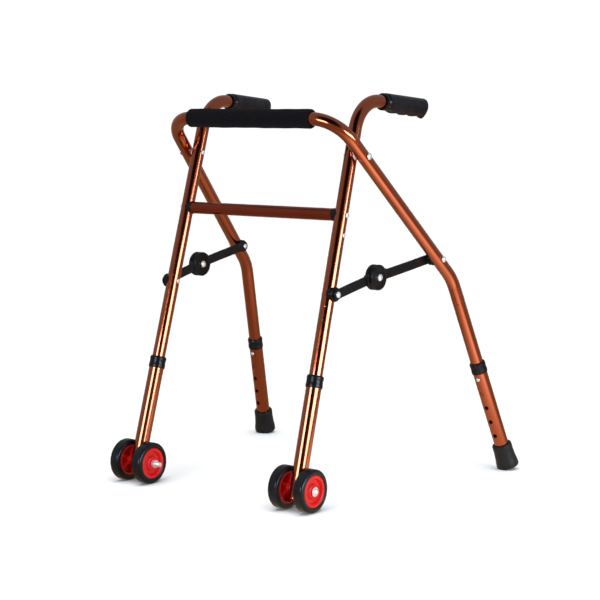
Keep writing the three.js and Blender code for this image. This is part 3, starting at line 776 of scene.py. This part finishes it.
def hand_grip(s):
    """Moulded grip: rim flange, groove, round back, keel with finger ridges and a pointed rear tooth."""
    name = f"{s.hand}_hand_grip"
    along = s.handle_dir
    up = (Z_AXIS - along * along.z).normalized()
    across = up.cross(along)
    start, end, _ = span(name, s.handle_end, along)
    length = end - start
    origin = s.handle_end + along * start
    back_r, keel, half_w, flange_r, groove_r = 0.0152, 0.0206, 0.0150, 0.0146, 0.0134
    sides, end_edge, bore = 72, 0.0016, TUBE_R + SNUG
    verts = []

    def outline(t, c, q):
        """Across and up reach of the section at t in the direction (c, q)."""
        power = 0.85 if q > 0 else 1.3
        x = half_w * math.copysign(abs(c) ** power, c)
        z = back_r * q**power if q > 0 else -soft_least(keel * abs(q) ** power, grip_depth(t))
        panel = smooth_step(0.014, 0.024, t) * (1 - smooth_step(0.092, 0.102, t))
        x -= math.copysign(0.0008, c) * panel * smooth_step(0.84, 0.95, abs(c))
        round_r = flange_r if t < 0.0042 else groove_r
        share = 1 - smooth_step(0.0058, 0.0085, t)
        x = x * (1 - share) + round_r * c * share
        z = z * (1 - share) + round_r * q * share
        edge = max(0.0, (t - (length - end_edge)) / end_edge)
        far_end = 1 - 0.10 * (1 - math.sqrt(max(0.0, 1 - edge**2)))
        mouth_end = 1 - 0.05 * (1 - smooth_step(0, 0.0008, t))
        return x * far_end * mouth_end, z * far_end * mouth_end

    def ring(t, section):
        """Adds a ring of (across, up) points at t and gives its vertex numbers."""
        verts.extend(origin + along * t + across * x + up * z for x, z in section)
        return range(len(verts) - sides, len(verts))

    rounding = [length - end_edge * (1 - math.sin(a)) for a in np.linspace(0, math.pi / 2, 6)]
    stations = [*np.linspace(0, 0.001, 4), 0.0041, 0.0043, *np.linspace(0.0055, length - end_edge, 120),
                *rounding]
    skin = [ring(t, [outline(t, c, q) for c, q in circle(sides)])
            for t in sorted({round(t, 6) for t in stations})]
    mouth, seat = (ring(t, [(bore * c, bore * q) for c, q in circle(sides)]) for t in (0.0, GRIP_SOCKET))
    faces = [*bands(skin), *bands([seat, mouth, skin[0]]), tuple(skin[-1]), tuple(seat)]
    place(name, (verts, faces), GRIP, "front_frame", 28)


# Braces ------------------------------------------------------------------------


def saddle(s, part, body, point, axis, flip):
    """Moulded block between a tube and its brace arm, hollowed to sit on the tube."""
    name = f"{s.hand}_{part}"
    radius = about_x(name)[2]
    x0, x1 = near_far(name)
    free, seat = (x0, x1) if flip else (x1, x0)
    towards = 1 if seat > free else -1
    seat_x = abs(point.x) - towards * 0.003
    steps = [(free, 0), (free, radius - 0.0010)]
    for ring in range(2):
        at = free + towards * 0.0026 * ring
        steps += [(at + towards * 0.0002, radius - 0.0003), (at + towards * 0.0016, radius - 0.0003),
                  (at + towards * 0.0018, radius - 0.0013), (at + towards * 0.0026, radius - 0.0013)]
    steps += [(free + towards * 0.0054, radius), (seat_x, radius), (seat_x, 0)]
    shape = lathe(rounded(steps, 0.0003, 2), Vector((0, point.y, point.z)), s.out)
    piece = place(name, shape, PLASTIC, body)
    cut(piece, [tube_room(point, axis, 0.06), rod_across(point, reach=0.05)])


def strap(points, width, thick, inward):
    """Flat bar with rounded edges through stations; inward is the side that its thickness faces."""
    edge = min(thick * 0.32, width * 0.2)
    outline = []
    for cx, cz in ((1, 1), (1, -1), (-1, -1), (-1, 1)):
        base = math.atan2(cz, cx)
        for k in (1, 0, -1):
            angle = base + k * math.pi / 5
            outline.append((cx * (thick / 2 - edge) + edge * math.cos(angle),
                            cz * (width / 2 - edge) + edge * math.sin(angle)))
    run = points[-1] - points[0]
    side = Vector((0, run.y, run.z)).normalized().cross(X_AXIS).normalized()
    verts, rows = [], []
    for p in points:
        rows.append(range(len(verts), len(verts) + len(outline)))
        verts += [p + X_AXIS * x * inward + side * z for x, z in outline]
    return verts, [tuple(rows[0]), tuple(rows[-1]), *bands(rows)]


def brace_arm(s, part, body, pivot, disc_low, eye_low, mates_outwards):
    """Flat arm with an eye at its pivot and a thick disc, well rounded where it meets the other disc."""
    flat = Vector((0, s.brace_mid.y - pivot.y, s.brace_mid.z - pivot.z))
    along, length = flat.normalized(), flat.length

    def at(distance, x):
        return Vector((s.sign * x, pivot.y, pivot.z)) + along * distance

    eye_mid, bar_mid = eye_low + LINK_T / 2, disc_low + DISC_T / 2
    stations = [at(0, eye_mid), at(0.010, eye_mid), at(length * 0.45, eye_mid * 0.55 + bar_mid * 0.45),
                at(length - DISC_R - 0.004, bar_mid), at(length - DISC_R * 0.6, bar_mid)]
    bar = strap(stations, LINK_W, LINK_T, s.sign)
    eye = lathe(rounded([(0, 0), (0, EYE_R), (LINK_T, EYE_R), (LINK_T, 0)], 0.0007),
                at(0, eye_low), s.out)
    land, recess, mate_edge, free_edge = DISC_R - 0.0068, 0.0005, 0.0034, 0.0012
    mate = quarter((mate_edge, DISC_R - mate_edge), (-mate_edge, 0), (0, mate_edge), 7)
    free = rounded([(DISC_T / 2, DISC_R), (DISC_T, DISC_R), (DISC_T, land)], free_edge)
    face = [(recess, 0), (recess, land), (0, land), *mate, *free,
            (DISC_T - recess, land), (DISC_T - recess, 0)]
    if mates_outwards:
        face = [(DISC_T - x, r) for x, r in face[::-1]]
    disc = lathe(face, at(length, disc_low), s.out, 72)
    lift = X_AXIS.cross(along)
    lift = lift if lift.z > 0 else -lift
    base = at(length - DISC_R - 0.0020, bar_mid) + lift * (LINK_W / 2 - 0.0010)
    stop = lathe(rounded([(0, 0), (0, 0.0026), (0.0026, 0.0022), (0.0026, 0)], 0.0006), base, lift, 20)
    piece = place(f"{s.hand}_{part}", bar, PLASTIC, body)
    fuse(piece, [eye, disc, stop])
    cut(piece, [rod_across(pivot, 0.0032, 0.06)])


# Telescoping legs --------------------------------------------------------------


def sleeve(s, end, point, axis, facing):
    """Lower leg sleeve with a row of height holes; the front one is drilled for the axle too."""
    name = f"{s.hand}_{end}_sleeve"
    low, high, _ = span(name, point, axis)
    shape = pipe(straight(point + axis * low, point + axis * high, 6), SLEEVE_R, SLEEVE_BORE)
    piece = place(name, shape, BRONZE, f"{s.hand}_{end}_leg_extension")
    top = (middle(f"{s.hand}_{end}_button") - point).dot(axis)
    holes = [point + axis * (top - i * HOLE_PITCH) for i in range(HOLE_COUNT)]
    cutters = [rod(hole + facing * 0.005, hole + facing * 0.02, HOLE_R) for hole in holes]
    if end == "front":
        cutters.append(rod_across(s.axle, 0.0042))
    cut(piece, cutters)


def collar(s, end, point, axis):
    """Moulded collar round the top of a sleeve, waisted between two bands."""
    name = f"{s.hand}_{end}_collar"
    low, high, radius = span(name, point, axis)
    sleeve_top = span(f"{s.hand}_{end}_sleeve", point, axis)[1] + GAP
    waist = radius - 0.0004
    profile = loop([(low, SLEEVE_R + SNUG), (low, radius - 0.0003), (low + 0.0012, radius),
                    (low + 0.0062, radius), (low + 0.0068, waist), (high - 0.0068, waist),
                    (high - 0.0062, radius), (high - 0.0026, radius), (high, radius - 0.0016),
                    (high, TUBE_R + GAP), (sleeve_top, TUBE_R + GAP), (sleeve_top, SLEEVE_R + SNUG)],
                   0.0004, 3)
    place(name, lathe(profile, point, axis), PLASTIC, f"{s.hand}_{end}_leg_extension")


def snap_button(s, end, facing):
    """Spring button: a flange inside the tube and a domed pin."""
    name = f"{s.hand}_{end}_button"
    centre = middle(name)
    low, high, _ = span(name, centre, facing)
    length, radius, flange_r, crown = high - low, 0.0036, 0.0045, 0.0024
    profile = [(0, 0), (0, flange_r), (0.0009, flange_r), (0.0010, radius),
               *quarter((length - crown, 0), (0, radius), (crown, 0), 8)]
    shape = lathe(profile, centre + facing * low, facing, 32)
    place(name, shape, BUTTON, f"{s.hand}_{end}_snap_button")


def rear_tip(s):
    """Flared rubber cup with a rim bead, a ringed foot and its sole worn level with the floor."""
    name = f"{s.hand}_rear_tip"
    high, base = span(name, s.rear, s.rear_up)[1:]
    foot = s.rear + s.rear_up * (-s.rear.z / s.rear_up.z)
    top = (s.rear + s.rear_up * high - foot).dot(s.rear_up)
    sole, rim, bore = 0.0058, 0.0172, SLEEVE_R + SNUG
    profile = [(sole, 0), (sole, base - 0.0012), (sole + 0.0014, base), (sole + 0.0085, base - 0.0003),
               (sole + 0.0175, rim + 0.0012), (top - 0.010, rim + 0.0001), (top - 0.0095, rim + 0.0005),
               (top - 0.0015, rim + 0.0003), (top, rim - 0.0012), (top, bore), (sole + 0.010, bore),
               (sole + 0.010, 0)]
    verts, faces = lathe(rounded(profile, 0.0016, 5), foot, s.rear_up, 64)
    level = [Vector((v.x, v.y, max(v.z, 0.0))) for v in verts]
    place(name, (level, faces), RUBBER, f"{s.hand}_rear_leg_extension", 40)


# Wheels ------------------------------------------------------------------------


def tyre(name, body, centre, face, half, radius, hub_r):
    """Tyre with rounded shoulders, a slightly crowned tread and a bead on the hub."""
    wide, tall, bead, wall = 0.0042, 0.0048, hub_r + SNUG, radius - 0.0060
    left = quarter((-half + wide, radius - tall), (-wide, 0), (0, tall), 8)
    right = quarter((half - wide, radius - tall), (0, tall), (wide, 0), 8)
    rim = half - 0.0006
    profile = [(-rim, bead), (-half, bead + 0.0012), (-half, wall), *left, (0, radius), *right,
               (half, wall), (half, bead + 0.0012), (rim, bead), (-rim, bead)]
    place(name, lathe(profile, centre, face, 96), TYRE, body, 40)


def hub_rib(centre, face, angle, back, deep):
    """Slightly tapered rib inside the hub, from its boss out to its rim."""
    up = Vector((0, math.cos(angle), math.sin(angle)))
    side = face.cross(up)
    corners = [centre + face * x + up * t + side * q
               for t, w in ((0.0072, 0.0013), (0.0230, 0.0010)) for x in (back, deep) for q in (-w, w)]
    return corners, [(0, 1, 3, 2), (4, 6, 7, 5), (0, 2, 6, 4), (1, 5, 7, 3), (0, 4, 5, 1), (2, 3, 7, 6)]


def hub(name, body, centre, face, half, hub_r):
    """Dished red hub with a boss, a recessed web and five ribs at the back."""
    bore, rim, web = 0.0043, half - 0.0006, half - 0.0094
    outline = [(-rim, hub_r), (rim, hub_r), (half - 0.0002, hub_r - 0.0036),
               (half - 0.0012, hub_r - 0.0052), (half - 0.0058, hub_r - 0.0066), (half - 0.0062, 0.0128),
               (half - 0.0030, 0.0108), (half - 0.0022, 0.0085), (half - 0.0014, bore),
               (-half - 0.0018, bore), (-half - 0.0018, 0.0070), (web, 0.0080),
               (web, 0.0222), (-rim, 0.0234)]
    ribs = [hub_rib(centre, face, 2 * math.pi * i / 5, -half + 0.0022, half - 0.0098) for i in range(5)]
    shape = join_parts(lathe(loop(outline, 0.0007, 4), centre, face, 80), *ribs)
    place(name, shape, HUB, body, 32)


def wheel(s, where, towards):
    """Tyre and hub of one wheel; towards points from the leg to the wheel's smooth face."""
    name, body = f"{s.hand}_{where}", f"{s.hand}_{where}_wheel"
    centre = joint_point(f"{s.hand}_{where}_wheel_spin")
    low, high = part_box(f"{name}_tyre")
    half, radius = (high.x - low.x) / 2, (high.z - low.z) / 2
    hub_r = about_x(f"{name}_hub")[2]
    tyre(f"{name}_tyre", body, centre, s.out * towards, half, radius, hub_r)
    hub(f"{name}_hub", body, centre, s.out * towards, half, hub_r)


def axle_bolt(s):
    """Axle with a threaded end inside and a flanged, domed head outside."""
    name = f"{s.hand}_axle_bolt"
    x0, x1 = near_far(name)
    flange, shank, head_r = x1 - 0.0043, 0.0040, 0.0060
    thread_from, thread_to = x0 + 0.0008, near_far(f"{s.hand}_axle_nut")[1] + 0.001
    profile = [(x0, 0), (x0, 0.0030), (thread_from, 0.0037)]
    x = thread_from
    while x < thread_to:
        profile += [(x + 0.0003, 0.0034), (x + 0.0006, 0.0039)]
        x += 0.0007
    profile += [(thread_to + 0.0012, shank), (flange, shank), (flange - 0.0004, 0.0076),
                (flange + 0.0003, 0.0077), (flange + 0.0004, head_r),
                *quarter((flange + 0.0008, 0), (0, head_r), (0.0035, 0), 8)]
    shape = lathe(profile, Vector((0, s.axle.y, s.axle.z)), s.out, 40)
    place(name, shape, STEEL, f"{s.hand}_front_leg_extension", 30)


def axle_nut(s):
    """Hexagon nut with chamfered corners and an open bore."""
    name = f"{s.hand}_axle_nut"
    low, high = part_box(name)
    tall, wide = high.z - low.z, high.y - low.y
    radius = tall / 2 / (1 if tall >= wide else math.cos(math.pi / 6))
    x0, x1 = near_far(name)
    origin = Vector((0, s.axle.y, s.axle.z))
    sides, bore, chamfer, chamfer_r = 48, 0.0041, 0.0007, radius * 0.93
    u, v = basis(s.out)
    half_flat = math.pi / 6
    sectors = [2 * math.pi * i / sides % (2 * half_flat) - half_flat for i in range(sides)]
    hexagon = [radius * math.cos(half_flat) / math.cos(sector) for sector in sectors]
    verts, rows = [], []
    for x, limit in ((x0, chamfer_r), (x0 + chamfer, radius), (x1 - chamfer, radius), (x1, chamfer_r),
                     (x1, bore), (x0, bore)):
        rows.append(range(len(verts), len(verts) + sides))
        verts += [origin + s.out * x + (u * c + v * q) * min(reach, limit)
                  for (c, q), reach in zip(circle(sides), hexagon)]
    rows.append(rows[0])
    place(name, (verts, bands(rows)), STEEL, f"{s.hand}_front_leg_extension", 25)


# Build -------------------------------------------------------------------------

walker = {hand: Side(hand, sign) for hand, sign in SIDES}
rear_tube(walker["left"], walker["right"])
crossbar()
foam_pad()
for s in walker.values():
    back = Vector((0, 1, 0))
    front_back = (back - s.front_up * s.front_up.y).normalized()
    rear_front = -(back - s.rear_up * s.rear_up.y).normalized()
    front_tube(s)
    hand_grip(s)
    crossbar_end(s)
    for part in ("crossbar_bolt", "leg_rivet", "pivot_bolt", "brace_front_bolt"):
        bolt(s, part, "front_frame")
    bolt(s, "brace_rear_bolt", "rear_frame")
    pivot_spacer(s)
    saddle(s, "brace_front_saddle", "front_frame", s.brace_front, s.front_up, False)
    saddle(s, "brace_rear_saddle", "rear_frame", s.brace_rear, s.upper, True)
    inner_disc = near_far(f"{s.hand}_brace_centre_head_inner")[1] + GAP
    outer_disc = near_far(f"{s.hand}_brace_centre_head_outer")[0] - GAP - DISC_T
    front_eye = near_far(f"{s.hand}_brace_front_saddle")[1] + GAP
    rear_eye = near_far(f"{s.hand}_brace_rear_saddle")[0] - GAP - LINK_T
    brace_arm(s, "brace_front_link", f"{s.hand}_brace_front_arm", s.brace_front, inner_disc, front_eye, True)
    brace_arm(s, "brace_rear_link", f"{s.hand}_brace_rear_arm", s.brace_rear, outer_disc, rear_eye, False)
    centre_head(s, "brace_centre_head_inner", f"{s.hand}_brace_front_arm", -1)
    centre_head(s, "brace_centre_head_outer", f"{s.hand}_brace_rear_arm", 1)
    sleeve(s, "front", s.front, s.front_up, front_back)
    sleeve(s, "rear", s.rear, s.rear_up, rear_front)
    collar(s, "front", s.front, s.front_up)
    collar(s, "rear", s.rear, s.rear_up)
    snap_button(s, "front", front_back)
    snap_button(s, "rear", rear_front)
    rear_tip(s)
    axle_bolt(s)
    axle_nut(s)
    for where, towards in (("outer", 1), ("inner", -1)):
        wheel(s, where, towards)


# Floor, light and camera -------------------------------------------------------

AZIMUTH, ELEVATION, DISTANCE = math.radians(37.66), math.radians(5.79), 2.9765
TARGET = Vector((0, 0.0163, 0.3501))
# Centre and reach of the painted pool of softbox light on the floor, seen only in reflections
PAINTED_POOL_CENTRE = Vector((0.75, -0.10, 0))
PAINTED_POOL_REACH = 1.05
DAYLIGHT = (0.70, 0.86, 1.0)


def direction(azimuth, elevation):
    """Unit vector from the walker; azimuth in degrees to the right of the camera."""
    turn, rise = AZIMUTH + math.radians(azimuth), math.radians(elevation)
    return Vector((math.sin(turn) * math.cos(rise), -math.cos(turn) * math.cos(rise), math.sin(rise)))


def floor():
    bpy.ops.mesh.primitive_circle_add(vertices=96, radius=9, fill_type="NGON")
    plane = bpy.context.object
    plane.name = "studio_floor"
    look = Look("studio_floor", (0.93, 0.93, 0.93), 0.7, Specular_IOR_Level=0.1)
    shade = look.noise(2.5, 3, 0.5)
    look.colour(look.ramp(shade, [(0.0, (0.92, 0.92, 0.92)), (1.0, (0.94, 0.94, 0.94))]))
    plane.data.materials.append(look.material)
    plane.visible_glossy = False


def backdrop():
    """White surround, seen by the camera only, so that it neither lights nor mirrors in the object."""
    bpy.ops.mesh.primitive_uv_sphere_add(segments=64, ring_count=32, radius=8.5)
    dome = bpy.context.object
    dome.name = "studio_backdrop"
    look = Look("studio_backdrop", (0.0, 0.0, 0.0), 1.0, Specular_IOR_Level=0.0)
    shade = look.noise(0.3, 2, 0.5)
    white = look.ramp(shade, [(0.0, (0.98, 0.98, 0.98)), (1.0, (1, 1, 1))])
    look.link(white, look.shader.inputs["Emission Color"])
    look.shader.inputs["Emission Strength"].default_value = 1.05
    dome.data.materials.append(look.material)
    for ray in ("diffuse", "glossy", "transmission", "volume_scatter", "shadow"):
        setattr(dome, f"visible_{ray}", False)


def lamp(name, kind, at, target, power, **values):
    light = bpy.data.lights.new(name, kind)
    light.energy = power
    for key, value in values.items():
        setattr(light, key, value)
    made = bpy.data.objects.new(name, light)
    bpy.context.scene.collection.objects.link(made)
    made.location = at
    made.rotation_mode = "QUATERNION"
    made.rotation_quaternion = (Vector(target) - Vector(at)).to_track_quat("-Z", "Y")
    return made


def softbox(name, azimuth, elevation, distance, width, height, radiance):
    at = TARGET + direction(azimuth, elevation) * distance
    power = radiance * math.pi * width * height
    lamp(name, "AREA", at, TARGET, power, shape="RECTANGLE", size=width, size_y=height, color=DAYLIGHT)


def camera():
    """Long lens, slightly above the axle, off the front left corner."""
    data = bpy.data.cameras.new("camera")
    data.sensor_width, data.lens = 36.0, 101.61
    data.shift_x, data.shift_y = -0.00923, -0.04305
    eye = bpy.data.objects.new("camera", data)
    bpy.context.scene.collection.objects.link(eye)
    back = direction(0, math.degrees(ELEVATION))
    eye.location = TARGET + back * DISTANCE
    eye.rotation_mode = "QUATERNION"
    eye.rotation_quaternion = (-back).to_track_quat("-Z", "Y")
    bpy.context.scene.camera = eye


def painted_floor_light():
    """Painted pool of the right softbox's light on the floor: an emitting sheet, white at its centre and
    warm further out, seen in reflections only.
    """
    bpy.ops.mesh.primitive_circle_add(vertices=96, radius=9, fill_type="NGON", location=(0, 0, -0.001))
    painted_pool = bpy.context.object
    painted_pool.name = "studio_painted_floor_light"
    look = Look("studio_painted_floor_light", (0.0, 0.0, 0.0), 1.0, Specular_IOR_Level=0.0)
    reach = look.node("ShaderNodeVectorMath")
    reach.operation = "DISTANCE"
    reach.inputs[1].default_value = PAINTED_POOL_CENTRE
    look.link(look.coordinates.outputs["Object"], reach.inputs[0])
    fall = look.node("ShaderNodeMath", operation="POWER")
    look.link(look.remap(reach.outputs["Value"], 1.0, 0.0, 0.0, PAINTED_POOL_REACH), fall.inputs[0])
    fall.inputs[1].default_value = 2.0
    share = fall.outputs["Value"]
    # Emission paints the softbox's light: bright at the centre of the pool, fading to a dim warm tone
    # further out
    look.link(look.remap(share, 0.31, 2.2), look.shader.inputs["Emission Strength"])
    look.link(look.mix(share, (1.0, 0.70, 0.42), (1.0, 1.0, 1.0)), look.shader.inputs["Emission Color"])
    painted_pool.data.materials.append(look.material)
    for ray in ("camera", "diffuse", "transmission", "volume_scatter", "shadow"):
        setattr(painted_pool, f"visible_{ray}", False)


def world():
    """Dim even surround with a dark patch above the camera, as an unlit studio ceiling."""
    made = bpy.data.worlds.new("studio")
    made.use_nodes = True
    tree = made.node_tree
    towards = tree.nodes.new("ShaderNodeTexCoord")
    dot = tree.nodes.new("ShaderNodeVectorMath")
    dot.operation = "DOT_PRODUCT"
    dot.inputs[1].default_value = direction(-6, 40)
    shade = tree.nodes.new("ShaderNodeMapRange")
    shade.interpolation_type = "SMOOTHSTEP"
    for key, value in (("From Min", 0.72), ("From Max", 0.92), ("To Min", 0.30), ("To Max", 0.01)):
        shade.inputs[key].default_value = value
    tree.links.new(towards.outputs["Generated"], dot.inputs[0])
    tree.links.new(dot.outputs["Value"], shade.inputs["Value"])
    tree.links.new(shade.outputs["Result"], tree.nodes["Background"].inputs["Strength"])
    tree.nodes["Background"].inputs["Color"].default_value = (1, 1, 1, 1)
    bpy.context.scene.world = made


camera()
floor()
backdrop()
painted_floor_light()
world()
softbox("right_softbox", 47, 5, 2.6, 1.9, 0.8, 10.5)
softbox("left_softbox", -36, 8, 2.6, 1.1, 0.75, 10.5)
top = lamp("top_light", "SUN", (0.3, -0.6, 3), (0, 0, 0), 2.9, angle=math.radians(70))
top.visible_glossy = False
bpy.context.scene.view_settings.view_transform = "Standard"
